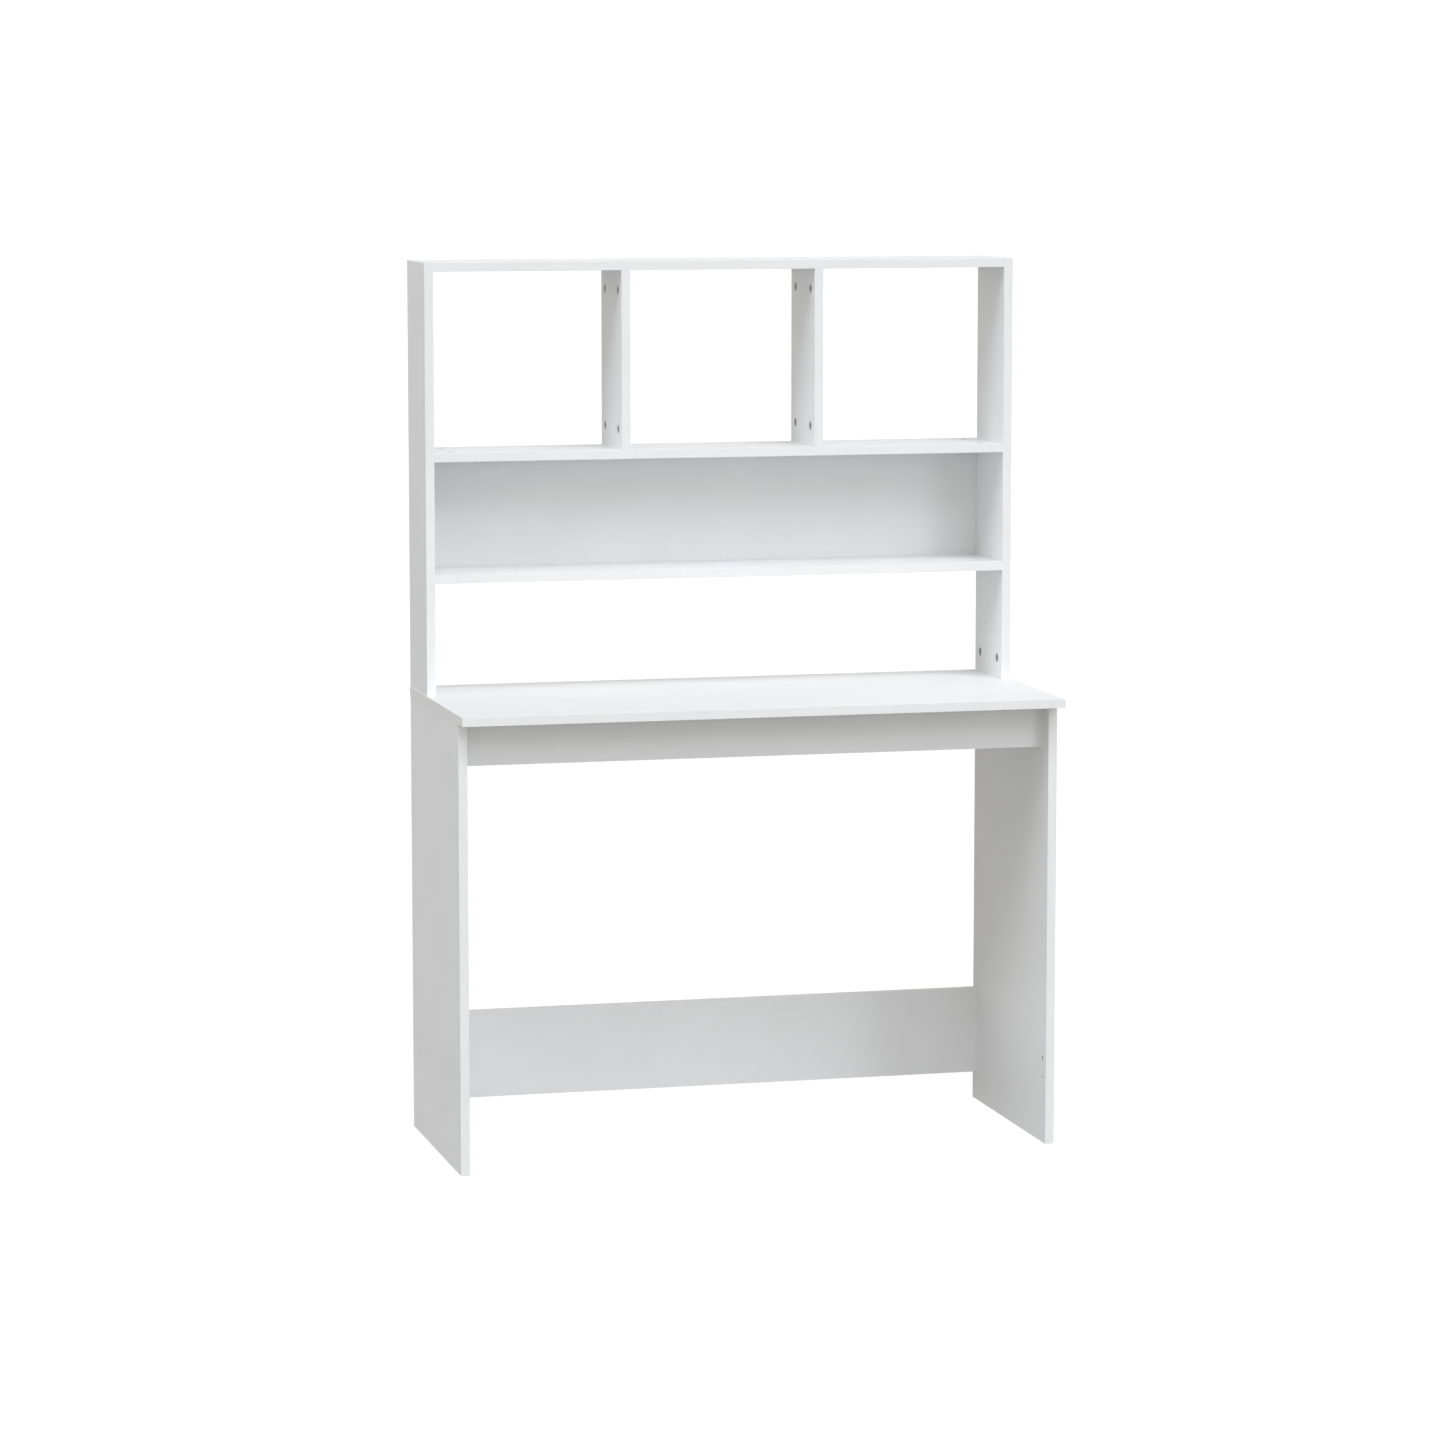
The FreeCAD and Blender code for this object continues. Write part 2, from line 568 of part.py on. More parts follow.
def join_between_legs(board, hardware, depth, height):
    """A board between the legs: a bolt and, above it, a dowel in each end, cams at its back."""
    bolt = f"{height} - Sizes.pair_pitch / 2"
    dowel = f"{height} + Sizes.pair_pitch / 2"
    for side, sign in (("left", "-"), ("right", "")):
        leg = boards[f"{side}_leg_panel"]
        joint = Joint(f"{hardware}_{side}", boards[board], side, leg, hardware)
        at_leg = f"{sign}({INNER})"
        joint.cams([(at_leg, depth, bolt)], "rear")
        joint.dowels([(at_leg, depth, dowel)])
        # The leg panels are drilled for use on either side, so the same holes, turned round and
        # left empty, are at the other edge of the same face.
        turned_depth = f"2 * ({LEG_FRONT}) + {LEG_DEPTH} - ({depth})"
        spare_bolt = [(at_leg, turned_depth, bolt)]
        spare_dowel = [(at_leg, turned_depth, dowel)]
        dowel_depth = "Sizes.dowel_in_face + Sizes.fit_gap"
        spare = f"{hardware}_spare"
        leg.drill(f"{spare}_thread", joint.face, spare_bolt, THREAD_HOLE, "Sizes.thread_bore_depth")
        leg.drill(f"{spare}_dowel", joint.face, spare_dowel, DOWEL_HOLE, dowel_depth)


def join_apron_to_desktop():
    """Two dowels that stand in the apron's upper edge and keep it in line with the desktop."""
    joint = Joint("apron_top", boards["front_apron"], "top", boards["desktop_panel"], "apron")
    places = [(f"{sign}Sizes.apron_dowel_reach", APRON_MIDDLE, LEG_TOP) for sign in ("-", "")]
    joint.dowels(places)


def join_hutch_feet():
    """The hutch sides on the desktop, over the legs."""
    for side, sign, mouth in (("left", "-", "right"), ("right", "", "left")):
        upright = boards[f"hutch_{side}_side"]
        joint = Joint(f"{side}_foot", upright, "bottom", boards["desktop_panel"], "hutch_foot")
        middle = f"{sign}({SIDE_MIDDLE})"
        joint.cams([(middle, row, "Sizes.desk_height") for row in HUTCH_ROWS], mouth)
        joint.dowels([(middle, row, "Sizes.desk_height") for row in HUTCH_DOWEL_ROW])


def join_between_hutch_sides(board, hardware, bottom, mouth):
    """The hutch's top or a shelf, between the two sides."""
    middle = f"{bottom} + Sizes.board / 2"
    for side, sign in (("left", "-"), ("right", "")):
        joint = Joint(f"{hardware}_{side}", boards[board], side, boards[f"hutch_{side}_side"], hardware)
        at_side = f"{sign}({INNER})"
        joint.cams([(at_side, row, middle) for row in HUTCH_ROWS], mouth)
        joint.dowels([(at_side, row, middle) for row in HUTCH_DOWEL_ROW])


def join_dividers():
    """Both ends of the two dividers, with every cam lock on their left faces."""
    ends = (
        ("bottom", "upper_shelf", f"{UPPER_SHELF} + Sizes.board"),
        ("top", "hutch_top_panel", HUTCH_TOP),
    )
    for side, sign in (("left", "-"), ("right", "")):
        divider = boards[f"{side}_divider"]
        middle = f"{sign}({BAY_CENTRE})"
        for end, met, height in ends:
            joint = Joint(f"{side}_divider_{end}", divider, end, boards[met], "divider")
            joint.cams([(middle, row, height) for row in HUTCH_ROWS], "left")
            joint.dowels([(middle, row, height) for row in HUTCH_DOWEL_ROW])


def nail_back_sheet():
    """The back sheet nailed to the rear edges of both shelves and both sides."""
    lap_middle = "Sizes.back_lap / 2"
    opening_bottom = f"{LOWER_SHELF} + Sizes.board"
    row = range(-HALF_ROW_OF_NAILS, HALF_ROW_OF_NAILS + 1)
    along = [f"{number} * Sizes.nail_pitch" for number in row]
    runs = {
        "lower_shelf": [(across, REAR, f"{opening_bottom} - {lap_middle}") for across in along],
        "upper_shelf": [(across, REAR, f"{UPPER_SHELF} + {lap_middle}") for across in along],
    }
    for side, sign in (("left", "-"), ("right", "")):
        across = f"{sign}({INNER} + {lap_middle})"
        heights = [f"{opening_bottom} + {third} * ({SHELF_GAP}) / 3" for third in (1, 2)]
        runs[f"hutch_{side}_side"] = [(across, REAR, height) for height in heights]
    hole = "Sizes.nail_diameter + Sizes.fit_gap"
    in_board = "Sizes.nail_length - Sizes.back_sheet + Sizes.fit_gap"
    forward = FreeCAD.Rotation(RIGHT, FORWARD)
    for name, places in runs.items():
        boards[name].drill("nail", "rear", places, hole, in_board)
        boards["hutch_back_panel"].drill(f"{name}_nail", "rear", places, hole, "Sizes.back_sheet")
        for place in places:
            put("back_panel_nails", masters["nail"], moved(place, BACK, "Sizes.back_sheet"), forward)


# ----------------------------------------------------------------------------- writing the files


def gather_groups():
    """One compound of separate solids for each group of like pieces."""
    for name, pieces in groups.items():
        compound = doc.addObject("Part::Compound", name)
        compound.Label = name
        compound.Links = pieces
        nodes.append(compound)
    doc.recompute()


def check_document():
    """Stops if anything failed to build."""
    for item in doc.Objects:
        if "Invalid" in item.State or "Error" in item.State:
            raise RuntimeError(f"{item.Label} is in state {item.State}")
    for node in nodes:
        if node.Shape.isNull() or not node.Shape.isValid():
            raise RuntimeError(f"{node.Label} has no valid shape")


def write_files():
    """Writes each node's shape to a file of its name."""
    os.makedirs("parts", exist_ok=True)
    for node in nodes:
        node.Shape.exportStep(f"parts/{node.Label}.step")
        print(f"{node.Label}: {len(node.Shape.Solids)} solids, {node.Shape.Volume / 1000:.1f} cm3")


fill_sheet()
boards = make_boards()
masters = {
    "cam_lock": make_cam_lock(),
    "cam_bolt": make_cam_bolt(),
    "dowel": make_dowel(),
    "nail": make_nail(),
}
join_legs()
join_between_legs("front_apron", "apron", APRON_MIDDLE, APRON_CENTRE)
join_between_legs("modesty_panel", "modesty", MODESTY_MIDDLE, MODESTY_ROW)
join_apron_to_desktop()
join_hutch_feet()
join_between_hutch_sides("lower_shelf", "lower_shelf", LOWER_SHELF, "bottom")
join_between_hutch_sides("upper_shelf", "upper_shelf", UPPER_SHELF, "top")
join_between_hutch_sides("hutch_top_panel", "hutch_top", HUTCH_TOP, "bottom")
join_dividers()
nail_back_sheet()
gather_groups()
check_document()
write_files()
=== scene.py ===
import json
import math
import bpy
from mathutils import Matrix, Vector


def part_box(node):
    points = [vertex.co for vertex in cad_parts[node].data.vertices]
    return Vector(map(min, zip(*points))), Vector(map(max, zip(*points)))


# A white flat-pack desk with an open hutch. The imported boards, tapes and fasteners keep their own
# shapes, and this script gives them their finishes, the floor, the light and the camera.

MM = 0.001

# Sizes of what the finishes are made of, in millimetres.
FACE_PAPER = 0.35  # melamine paper on each face of a board, drawn twice as thick as it is
CHIP_LENGTH = 4.0
CHIP_THICKNESS = 0.9
PEARL_DIMPLE = 3.0  # real dimples are near 0.6 mm, too fine to show, so they are drawn larger
PEARL_DEPTH = 0.03
BOARD_WAVE = 45.0  # the chips below make the faces very slightly uneven
BOARD_WAVE_DEPTH = 0.03
HANDLING = 120.0  # patches where a face is a touch glossier
TAPE_GRAIN = 1.6  # real grain is near 0.4 mm, too fine to show, so it is drawn larger
TAPE_GRAIN_DEPTH = 0.015
HARDBOARD_FIBRE = 2.2
HARDBOARD_FIBRE_DEPTH = 0.05
LACQUER = 0.15  # white lacquer on the front of the back sheet, drawn thicker than the real film
CASTING_GRAIN = 0.8
CASTING_GRAIN_DEPTH = 0.03
WIRE_DRAW = 0.5
WIRE_DRAW_DEPTH = 0.01
PLATING_MOTTLE = 1.5
PLATING_DEPTH = 0.01
BEECH_FLECK = 1.8
BEECH_GRAIN_DEPTH = 0.04
FLOOR_MOTTLE = 260.0

# The round studio, in metres. Its surfaces are dark and glow on their own, where 1 is white.
STUDIO_RADIUS = 40.0
STUDIO_HEIGHT = 30.0
STUDIO_SIDES = 96
STUDIO_SURFACE = "404040"
FLOOR_GLOW = 0.96
WALL_GLOW = 0.985

# Tints of the lights. The room itself sends the warm one.
COOL_LIGHT = "F3F8FF"
WARM_LIGHT = "FFFDF8"

# How strongly the room lights the desk: from below, at the horizon and from overhead.
ROOM_LOW = 0.36
ROOM_HORIZON = 0.98
ROOM_OVERHEAD = 0.08
HORIZON_BLUR = 0.05  # how far above and below the horizon the two parts meet, on a radius of 1

# The camera stands to the left of the desk and looks slightly down.
CAMERA_TARGET = Vector((-0.024, 0.0, 0.714))
CAMERA_DISTANCE = 8.13
CAMERA_AZIMUTH = 14.41  # degrees to the left of straight ahead
CAMERA_ELEVATION = 7.18
CAMERA_LENS = 121.1
CAMERA_SENSOR = 36.0

# Places of the mix node's sockets, because several of them share a name.
FACTOR = 0
VALUE_A, VALUE_B = 2, 3
COLOUR_A, COLOUR_B = 6, 7
MIXED_VALUE, MIXED_COLOUR = 0, 2


# ------------------------------------------------------------------------------- small helpers


def paint(hex_colour):
    """An sRGB hex colour as linear red, green, blue and alpha."""
    channels = [int(hex_colour[place:place + 2], 16) / 255 for place in (0, 2, 4)]
    linear = [c / 12.92 if c <= 0.04045 else ((c + 0.055) / 1.055) ** 2.4 for c in channels]
    return (*linear, 1.0)


def per_metre(size_mm):
    """How many times a pattern of that size repeats in a metre."""
    return 1 / (size_mm * MM)


def add(tree, kind, inputs=None, stops=(), **settings):
    """Adds one node with its settings, and gives its inputs values or other nodes' outputs.

    An input is named, or given by its place where names repeat. stops are the (place, hex colour)
    pairs of a colour ramp."""
    node = tree.nodes.new(kind)
    for name, value in settings.items():
        setattr(node, name, value)
    for name, value in (inputs or {}).items():
        if isinstance(value, bpy.types.NodeSocket):
            tree.links.new(value, node.inputs[name])
        else:
            node.inputs[name].default_value = value
    if stops:
        elements = node.color_ramp.elements
        while len(elements) < len(stops):
            elements.new(0.5)
        for element, (place, hex_colour) in zip(elements, stops):
            element.position = place
            element.color = paint(hex_colour)
    return node


def new_finish(name):
    """A material with an empty node tree."""
    material = bpy.data.materials.new(name)
    material.use_nodes = True
    material.node_tree.nodes.clear()
    return material


# ------------------------------------------------------------------------------------ finishes


def melamine_board(axis, thickness):
    """Particle board faced with white melamine paper, pressed against a pearl-textured plate.

    The faces read as a clean, even white with a soft, slightly broken sheen. Drilled holes and
    untaped ends show the pressed poplar chips, nearly white and quite matt, so that the small
    holes stay faint. axis is the board's thin one, and thickness is in millimetres."""
    material = new_finish(f"pearl_white_melamine_board_{axis}")
    tree = material.node_tree
    place = add(tree, "ShaderNodeTexCoord")
    through = add(tree, "ShaderNodeSeparateXYZ", {"Vector": place.outputs["Generated"]})
    off_middle = add(tree, "ShaderNodeMath", {0: through.outputs[axis], 1: 0.5},
                     operation="SUBTRACT")
    depth = add(tree, "ShaderNodeMath", {0: off_middle.outputs["Value"]}, operation="ABSOLUTE")
    core = add(tree, "ShaderNodeMath",
               {0: depth.outputs["Value"], 1: 0.5 - FACE_PAPER / thickness}, operation="LESS_THAN")

    dimple = add(tree, "ShaderNodeTexNoise",
                 {"Vector": place.outputs["Object"], "Scale": per_metre(PEARL_DIMPLE),
                  "Detail": 1.0})
    wave = add(tree, "ShaderNodeTexNoise",
               {"Vector": place.outputs["Object"], "Scale": per_metre(BOARD_WAVE), "Detail": 1.0})
    handled = add(tree, "ShaderNodeTexNoise",
                  {"Vector": place.outputs["Object"], "Scale": per_metre(HANDLING), "Detail": 3.0})
    white = add(tree, "ShaderNodeValToRGB", {"Fac": handled.outputs["Fac"]},
                stops=[(0.35, "F0F1F2"), (0.65, "F2F3F4")])

    chips_per_metre = [per_metre(CHIP_LENGTH)] * 3
    chips_per_metre["XYZ".index(axis)] = per_metre(CHIP_THICKNESS)
    laid = add(tree, "ShaderNodeVectorMath", {0: place.outputs["Object"], 1: chips_per_metre},
               operation="MULTIPLY")
    chips = add(tree, "ShaderNodeTexVoronoi", {"Vector": laid.outputs["Vector"], "Scale": 1.0})
    tone = add(tree, "ShaderNodeSeparateColor", {"Color": chips.outputs["Color"]})
    poplar = add(tree, "ShaderNodeValToRGB", {"Fac": tone.outputs["Red"]},
                 stops=[(0.0, "D6CFC3"), (0.5, "E4DED4"), (1.0, "F0ECE4")])

    colour = add(tree, "ShaderNodeMix",
                 {FACTOR: core.outputs["Value"], COLOUR_A: white.outputs["Color"],
                  COLOUR_B: poplar.outputs["Color"]}, data_type="RGBA")
    sheen = add(tree, "ShaderNodeMapRange",
                {"Value": handled.outputs["Fac"], "To Min": 0.37, "To Max": 0.45})
    gloss = add(tree, "ShaderNodeMix",
                {FACTOR: core.outputs["Value"], VALUE_A: sheen.outputs["Result"], VALUE_B: 0.9})
    uneven = add(tree, "ShaderNodeBump",
                 {"Height": wave.outputs["Fac"], "Distance": BOARD_WAVE_DEPTH * MM,
                  "Strength": 1.0})
    pearl = add(tree, "ShaderNodeBump",
                {"Height": dimple.outputs["Fac"], "Distance": PEARL_DEPTH * MM, "Strength": 1.0,
                 "Normal": uneven.outputs["Normal"]})
    shader = add(tree, "ShaderNodeBsdfPrincipled",
                 {"Base Color": colour.outputs[MIXED_COLOUR],
                  "Roughness": gloss.outputs[MIXED_VALUE],
                  "Normal": pearl.outputs["Normal"], "IOR": 1.5})
    add(tree, "ShaderNodeOutputMaterial", {"Surface": shader.outputs["BSDF"]})
    return material


def abs_tape():
    """White ABS edge tape, extruded, glued on and milled round at its corners.

    A shade brighter and smoother than the faces, so the front edges read as crisp light lines."""
    material = new_finish("white_abs_edge_tape")
    tree = material.node_tree
    place = add(tree, "ShaderNodeTexCoord")
    grain = add(tree, "ShaderNodeTexNoise",
                {"Vector": place.outputs["Object"], "Scale": per_metre(TAPE_GRAIN), "Detail": 2.0})
    patch = add(tree, "ShaderNodeTexNoise",
                {"Vector": place.outputs["Object"], "Scale": per_metre(HANDLING), "Detail": 2.0})
    white = add(tree, "ShaderNodeValToRGB", {"Fac": patch.outputs["Fac"]},
                stops=[(0.35, "F1F1F1"), (0.65, "F3F3F3")])
    sheen = add(tree, "ShaderNodeMapRange",
                {"Value": grain.outputs["Fac"], "To Min": 0.30, "To Max": 0.40})
    milled = add(tree, "ShaderNodeBump",
                 {"Height": grain.outputs["Fac"], "Distance": TAPE_GRAIN_DEPTH * MM,
                  "Strength": 1.0})
    shader = add(tree, "ShaderNodeBsdfPrincipled",
                 {"Base Color": white.outputs["Color"], "Roughness": sheen.outputs["Result"],
                  "Normal": milled.outputs["Normal"], "IOR": 1.52})
    add(tree, "ShaderNodeOutputMaterial", {"Surface": shader.outputs["BSDF"]})
    return material


def lacquered_hardboard():
    """Dry-pressed hardboard with a rolled white lacquer on its front only.

    From the front it is a flat, slightly duller white than the boards. Its back and its cut edges
    are bare brown fibre."""
    material = new_finish("white_lacquered_hardboard")
    tree = material.node_tree
    low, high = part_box("hutch_back_panel")
    coat = LACQUER * MM / (high.y - low.y)
    place = add(tree, "ShaderNodeTexCoord")
    through = add(tree, "ShaderNodeSeparateXYZ", {"Vector": place.outputs["Generated"]})
    bare = add(tree, "ShaderNodeMath", {0: through.outputs["Y"], 1: coat},
               operation="GREATER_THAN")
    fibre = add(tree, "ShaderNodeTexNoise",
                {"Vector": place.outputs["Object"], "Scale": per_metre(HARDBOARD_FIBRE),
                 "Detail": 6.0, "Distortion": 1.5})
    patch = add(tree, "ShaderNodeTexNoise",
                {"Vector": place.outputs["Object"], "Scale": per_metre(HANDLING), "Detail": 2.0})
    white = add(tree, "ShaderNodeValToRGB", {"Fac": patch.outputs["Fac"]},
                stops=[(0.35, "EEEFEF"), (0.65, "F0F1F1")])
    brown = add(tree, "ShaderNodeValToRGB", {"Fac": fibre.outputs["Fac"]},
                stops=[(0.25, "7F5B38"), (0.5, "9C764E"), (0.8, "B79368")])
    colour = add(tree, "ShaderNodeMix",
                 {FACTOR: bare.outputs["Value"], COLOUR_A: white.outputs["Color"],
                  COLOUR_B: brown.outputs["Color"]}, data_type="RGBA")
    gloss = add(tree, "ShaderNodeMix", {FACTOR: bare.outputs["Value"], VALUE_A: 0.5, VALUE_B: 0.78})
    felted = add(tree, "ShaderNodeBump",
                 {"Height": fibre.outputs["Fac"], "Distance": HARDBOARD_FIBRE_DEPTH * MM,
                  "Strength": 1.0})
    shader = add(tree, "ShaderNodeBsdfPrincipled",
                 {"Base Color": colour.outputs[MIXED_COLOUR],
                  "Roughness": gloss.outputs[MIXED_VALUE],
                  "Normal": felted.outputs["Normal"], "IOR": 1.5})
    add(tree, "ShaderNodeOutputMaterial", {"Surface": shader.outputs["BSDF"]})
    return material


def grained_metal(name, size_mm, depth_mm, stops, rough_range):
    """A metal whose fine grain varies its tone, its gloss and its surface together."""
    material = new_finish(name)
    tree = material.node_tree
    place = add(tree, "ShaderNodeTexCoord")
    grain = add(tree, "ShaderNodeTexNoise",
                {"Vector": place.outputs["Object"], "Scale": per_metre(size_mm), "Detail": 4.0})
    tone = add(tree, "ShaderNodeValToRGB", {"Fac": grain.outputs["Fac"]}, stops=stops)
    gloss = add(tree, "ShaderNodeMapRange",
                {"Value": grain.outputs["Fac"], "To Min": rough_range[0],
                 "To Max": rough_range[1]})
    surface = add(tree, "ShaderNodeBump",
                  {"Height": grain.outputs["Fac"], "Distance": depth_mm * MM, "Strength": 1.0})
    shader = add(tree, "ShaderNodeBsdfPrincipled",
                 {"Base Color": tone.outputs["Color"], "Roughness": gloss.outputs["Result"],
                  "Metallic": 1.0, "Normal": surface.outputs["Normal"]})
    add(tree, "ShaderNodeOutputMaterial", {"Surface": shader.outputs["BSDF"]})
    return material


def cast_zinc():
    """Die-cast zinc, left as it came from the mould: a dull pale grey with a faint cloudy grain."""
    stops = [(0.3, "A0A2A4"), (0.7, "B6B8BA")]
    return grained_metal("die_cast_zinc", CASTING_GRAIN, CASTING_GRAIN_DEPTH, stops, (0.42, 0.58))


def plated_steel():
    """Turned steel with bright zinc plating: light, slightly blue and mottled."""
    stops = [(0.3, "B3B7BB"), (0.7, "CBCED1")]
    return grained_metal("zinc_plated_steel", PLATING_MOTTLE, PLATING_DEPTH, stops, (0.28, 0.4))


def drawn_wire():
    """Bright drawn steel wire: the nail heads catch small sharp lights."""
    stops = [(0.3, "A9AAAC"), (0.7, "C0C1C2")]
    return grained_metal("bright_drawn_wire", WIRE_DRAW, WIRE_DRAW_DEPTH, stops, (0.25, 0.35))


def bare_beech():
    """Bare beech, turned into dowels: pale pinkish tan with short darker flecks, and matt."""
    material = new_finish("bare_beech")
    tree = material.node_tree
    place = add(tree, "ShaderNodeTexCoord")
    fleck = add(tree, "ShaderNodeTexVoronoi",
                {"Vector": place.outputs["Object"], "Scale": per_metre(BEECH_FLECK)})
    grain = add(tree, "ShaderNodeTexNoise",
                {"Vector": place.outputs["Object"], "Scale": per_metre(BEECH_FLECK),
                 "Detail": 4.0})
    tone = add(tree, "ShaderNodeMath",
               {0: fleck.outputs["Distance"], 1: grain.outputs["Fac"]}, operation="MULTIPLY")
    colour = add(tree, "ShaderNodeValToRGB", {"Fac": tone.outputs["Value"]},
                 stops=[(0.0, "A9794F"), (0.2, "C79C6D"), (0.5, "D9B68A")])
    gloss = add(tree, "ShaderNodeMapRange",
                {"Value": grain.outputs["Fac"], "To Min": 0.6, "To Max": 0.8})
    turned = add(tree, "ShaderNodeBump",
                 {"Height": grain.outputs["Fac"], "Distance": BEECH_GRAIN_DEPTH * MM,
                  "Strength": 1.0})
    shader = add(tree, "ShaderNodeBsdfPrincipled",
                 {"Base Color": colour.outputs["Color"], "Roughness": gloss.outputs["Result"],
                  "Normal": turned.outputs["Normal"], "IOR": 1.5})
    add(tree, "ShaderNodeOutputMaterial", {"Surface": shader.outputs["BSDF"]})
    return material


def finish_desk():
    """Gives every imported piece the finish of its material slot."""
    leg_low, leg_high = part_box("left_leg_panel")
    thickness = (leg_high.x - leg_low.x) / MM
    boards = {axis: melamine_board(axis, thickness) for axis in "XYZ"}
    finishes = {
        "edge_tape": abs_tape(),
        "back_sheet": lacquered_hardboard(),
        "cam_zinc": cast_zinc(),
        "bolt_steel": plated_steel(),
        "nail_steel": drawn_wire(),
        "dowel_wood": bare_beech(),
    }
    slot_of = {part["node"]: part["material_slot"] for part in frame["record"]["subparts"]}
    for name, piece in frame["nodes"].items():
        if slot_of[name] == "faced_board":
            low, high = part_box(name)
            sides = high - low
            finish = boards["XYZ"[min(range(3), key=lambda axis: sides[axis])]]
        else:
            finish = finishes[slot_of[name]]
        piece.material_slots[0].material = finish


# -------------------------------------------------------------------------------------- studio


def towards(azimuth, elevation):
    """The direction from the desk to something at that azimuth, to the right of straight ahead
    of the desk's front, and that elevation, both in degrees."""
    turn, rise = math.radians(azimuth), math.radians(elevation)
    return Vector((math.sin(turn) * math.cos(rise), -math.cos(turn) * math.cos(rise),
                   math.sin(rise)))


def lit_white(name, glow):
    """A studio surface that is lit from behind until it is just above white, so that it reads as
    plain white without a shadow."""
    material = new_finish(name)
    tree = material.node_tree
    place = add(tree, "ShaderNodeTexCoord")
    mottle = add(tree, "ShaderNodeTexNoise",
                 {"Vector": place.outputs["Object"], "Scale": per_metre(FLOOR_MOTTLE),
                  "Detail": 2.0})
    gloss = add(tree, "ShaderNodeMapRange",
                {"Value": mottle.outputs["Fac"], "To Min": 0.85, "To Max": 0.95})
    shader = add(tree, "ShaderNodeBsdfPrincipled",
                 {"Base Color": paint(STUDIO_SURFACE), "Roughness": gloss.outputs["Result"],
                  "Emission Color": paint("FFFFFF"), "Emission Strength": glow})
    add(tree, "ShaderNodeOutputMaterial", {"Surface": shader.outputs["BSDF"]})
    return material


def make_studio():
    """A round white room: a pale acrylic floor lit from below, and a white wall far off.

    The room is only looked at. The light that it would send back onto the desk comes from the
    lower half of the world instead, where it can be set on its own."""
    ring = [(math.cos(turn) * STUDIO_RADIUS, math.sin(turn) * STUDIO_RADIUS)
            for turn in (2 * math.pi * step / STUDIO_SIDES for step in range(STUDIO_SIDES))]
    low = [(x, y, 0.0) for x, y in ring]
    high = [(x, y, STUDIO_HEIGHT) for x, y in ring]
    sides = [(step, (step + 1) % STUDIO_SIDES, STUDIO_SIDES + (step + 1) % STUDIO_SIDES,
              STUDIO_SIDES + step) for step in range(STUDIO_SIDES)]
    for name, points, faces, material in (
            ("floor", low, [tuple(range(STUDIO_SIDES))],
             lit_white("lit_acrylic_floor", FLOOR_GLOW)),
            ("wall", low + high, sides, lit_white("white_wall", WALL_GLOW))):
        mesh = bpy.data.meshes.new(name)
        mesh.from_pydata(points, [], faces)
        mesh.materials.append(material)
        piece = bpy.data.objects.new(name, mesh)
        bpy.context.scene.collection.objects.link(piece)
        piece.visible_diffuse = piece.visible_glossy = piece.visible_shadow = False


def add_light(name, tint, azimuth, elevation, spread, strength):
    """A wide, distant soft light. spread is its width in degrees, and strength is what a white
    matt face turned to it sends back."""
    lamp = bpy.data.lights.new(name, "SUN")
    lamp.energy = strength * math.pi
    lamp.angle = math.radians(spread)
    lamp.color = paint(tint)[:3]
    light = bpy.data.objects.new(name, lamp)
    light.rotation_euler = towards(azimuth, elevation).to_track_quat("Z", "Y").to_euler()
    bpy.context.scene.collection.objects.link(light)


def make_lights():
    """A tall cool key from the right that weakens towards its foot, cool fills in front and from
    the left, and a warm one from behind."""
    add_light("key_high", COOL_LIGHT, azimuth=30, elevation=55, spread=15, strength=0.13)
    add_light("key_middle", COOL_LIGHT, azimuth=45, elevation=40, spread=15, strength=0.08)
    add_light("key_low", COOL_LIGHT, azimuth=30, elevation=25, spread=15, strength=0.07)
    add_light("key_foot", COOL_LIGHT, azimuth=27, elevation=5, spread=12, strength=0.04)
    add_light("front_fill", COOL_LIGHT, azimuth=10, elevation=45, spread=40, strength=0.18)
    add_light("left_fill", COOL_LIGHT, azimuth=-30, elevation=60, spread=25, strength=0.21)
    add_light("far_left_fill", COOL_LIGHT, azimuth=-75, elevation=35, spread=25, strength=0.22)
    add_light("rear_fill", WARM_LIGHT, azimuth=120, elevation=35, spread=40, strength=0.18)


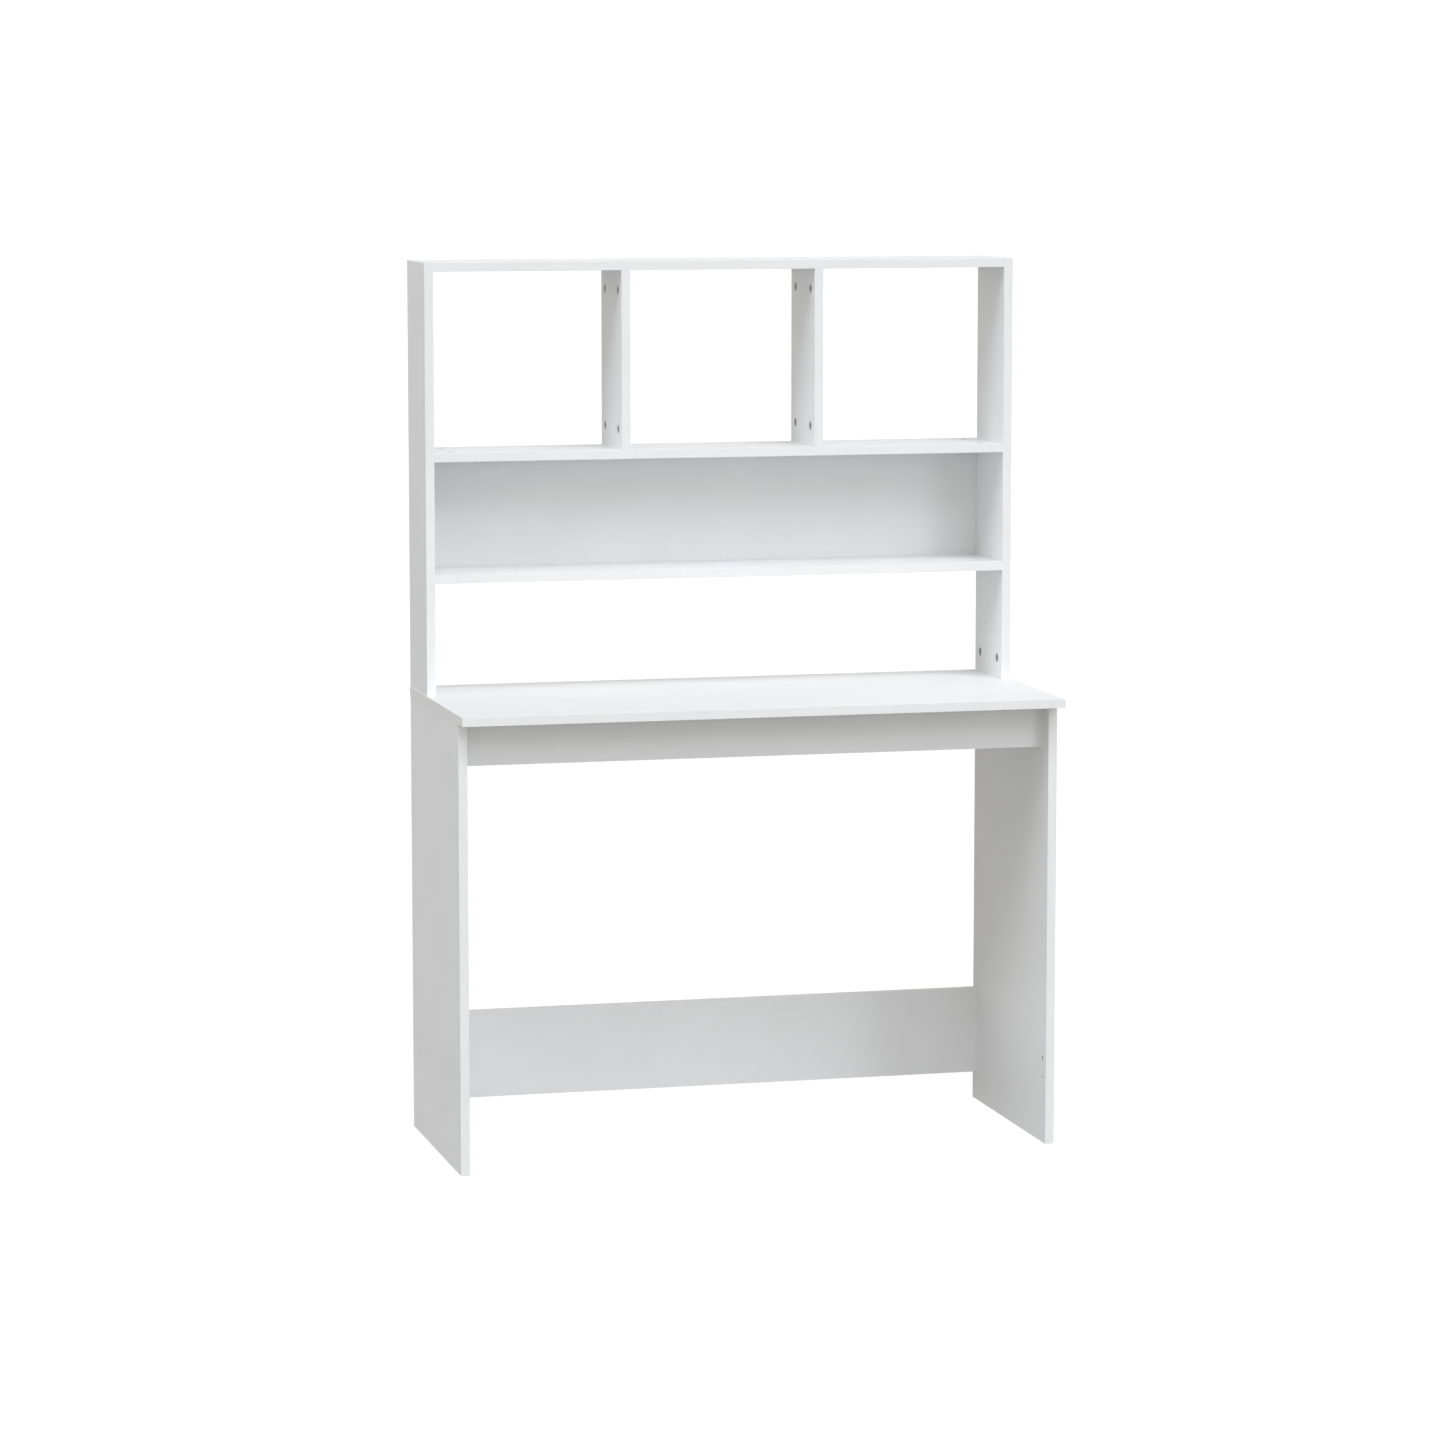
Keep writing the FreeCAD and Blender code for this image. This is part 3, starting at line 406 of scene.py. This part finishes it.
def make_world():
    """The pale room's own light, all round: brightest at its horizon and darkest overhead."""
    world = bpy.data.worlds.new("pale_room")
    world.use_nodes = True
    tree = world.node_tree
    tree.nodes.clear()
    place = add(tree, "ShaderNodeTexCoord")
    height = add(tree, "ShaderNodeSeparateXYZ", {"Vector": place.outputs["Generated"]})
    above = add(tree, "ShaderNodeMapRange",
                {"Value": height.outputs["Z"], "From Min": -HORIZON_BLUR,
                 "From Max": HORIZON_BLUR})
    upper = add(tree, "ShaderNodeMapRange",
                {"Value": height.outputs["Z"], "To Min": ROOM_HORIZON, "To Max": ROOM_OVERHEAD})
    glow = add(tree, "ShaderNodeMix",
               {FACTOR: above.outputs["Result"], VALUE_A: ROOM_LOW,
                VALUE_B: upper.outputs["Result"]})
    room = add(tree, "ShaderNodeBackground",
               {"Color": paint(WARM_LIGHT), "Strength": glow.outputs[MIXED_VALUE]})
    add(tree, "ShaderNodeOutputWorld", {"Surface": room.outputs["Background"]})
    bpy.context.scene.world = world
    bpy.context.scene.view_settings.view_transform = "Standard"


def make_camera():
    """A long lens, from above the top of the hutch and turned slightly down."""
    camera = bpy.data.cameras.new("camera")
    camera.sensor_width = CAMERA_SENSOR
    camera.lens = CAMERA_LENS
    holder = bpy.data.objects.new("camera", camera)
    back = towards(-CAMERA_AZIMUTH, CAMERA_ELEVATION)
    holder.location = CAMERA_TARGET + back * CAMERA_DISTANCE
    holder.rotation_euler = back.to_track_quat("Z", "Y").to_euler()
    bpy.context.scene.collection.objects.link(holder)
    bpy.context.scene.camera = holder


with open("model.json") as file:
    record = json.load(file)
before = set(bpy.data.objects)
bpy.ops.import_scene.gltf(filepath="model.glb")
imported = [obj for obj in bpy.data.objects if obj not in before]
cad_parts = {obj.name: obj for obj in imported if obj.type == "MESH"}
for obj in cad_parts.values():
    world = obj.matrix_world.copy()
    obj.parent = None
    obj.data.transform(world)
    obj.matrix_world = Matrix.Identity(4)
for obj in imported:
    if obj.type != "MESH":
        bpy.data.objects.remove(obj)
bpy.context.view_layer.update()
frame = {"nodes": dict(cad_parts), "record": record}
finish_desk()
make_studio()
make_lights()
make_world()
make_camera()
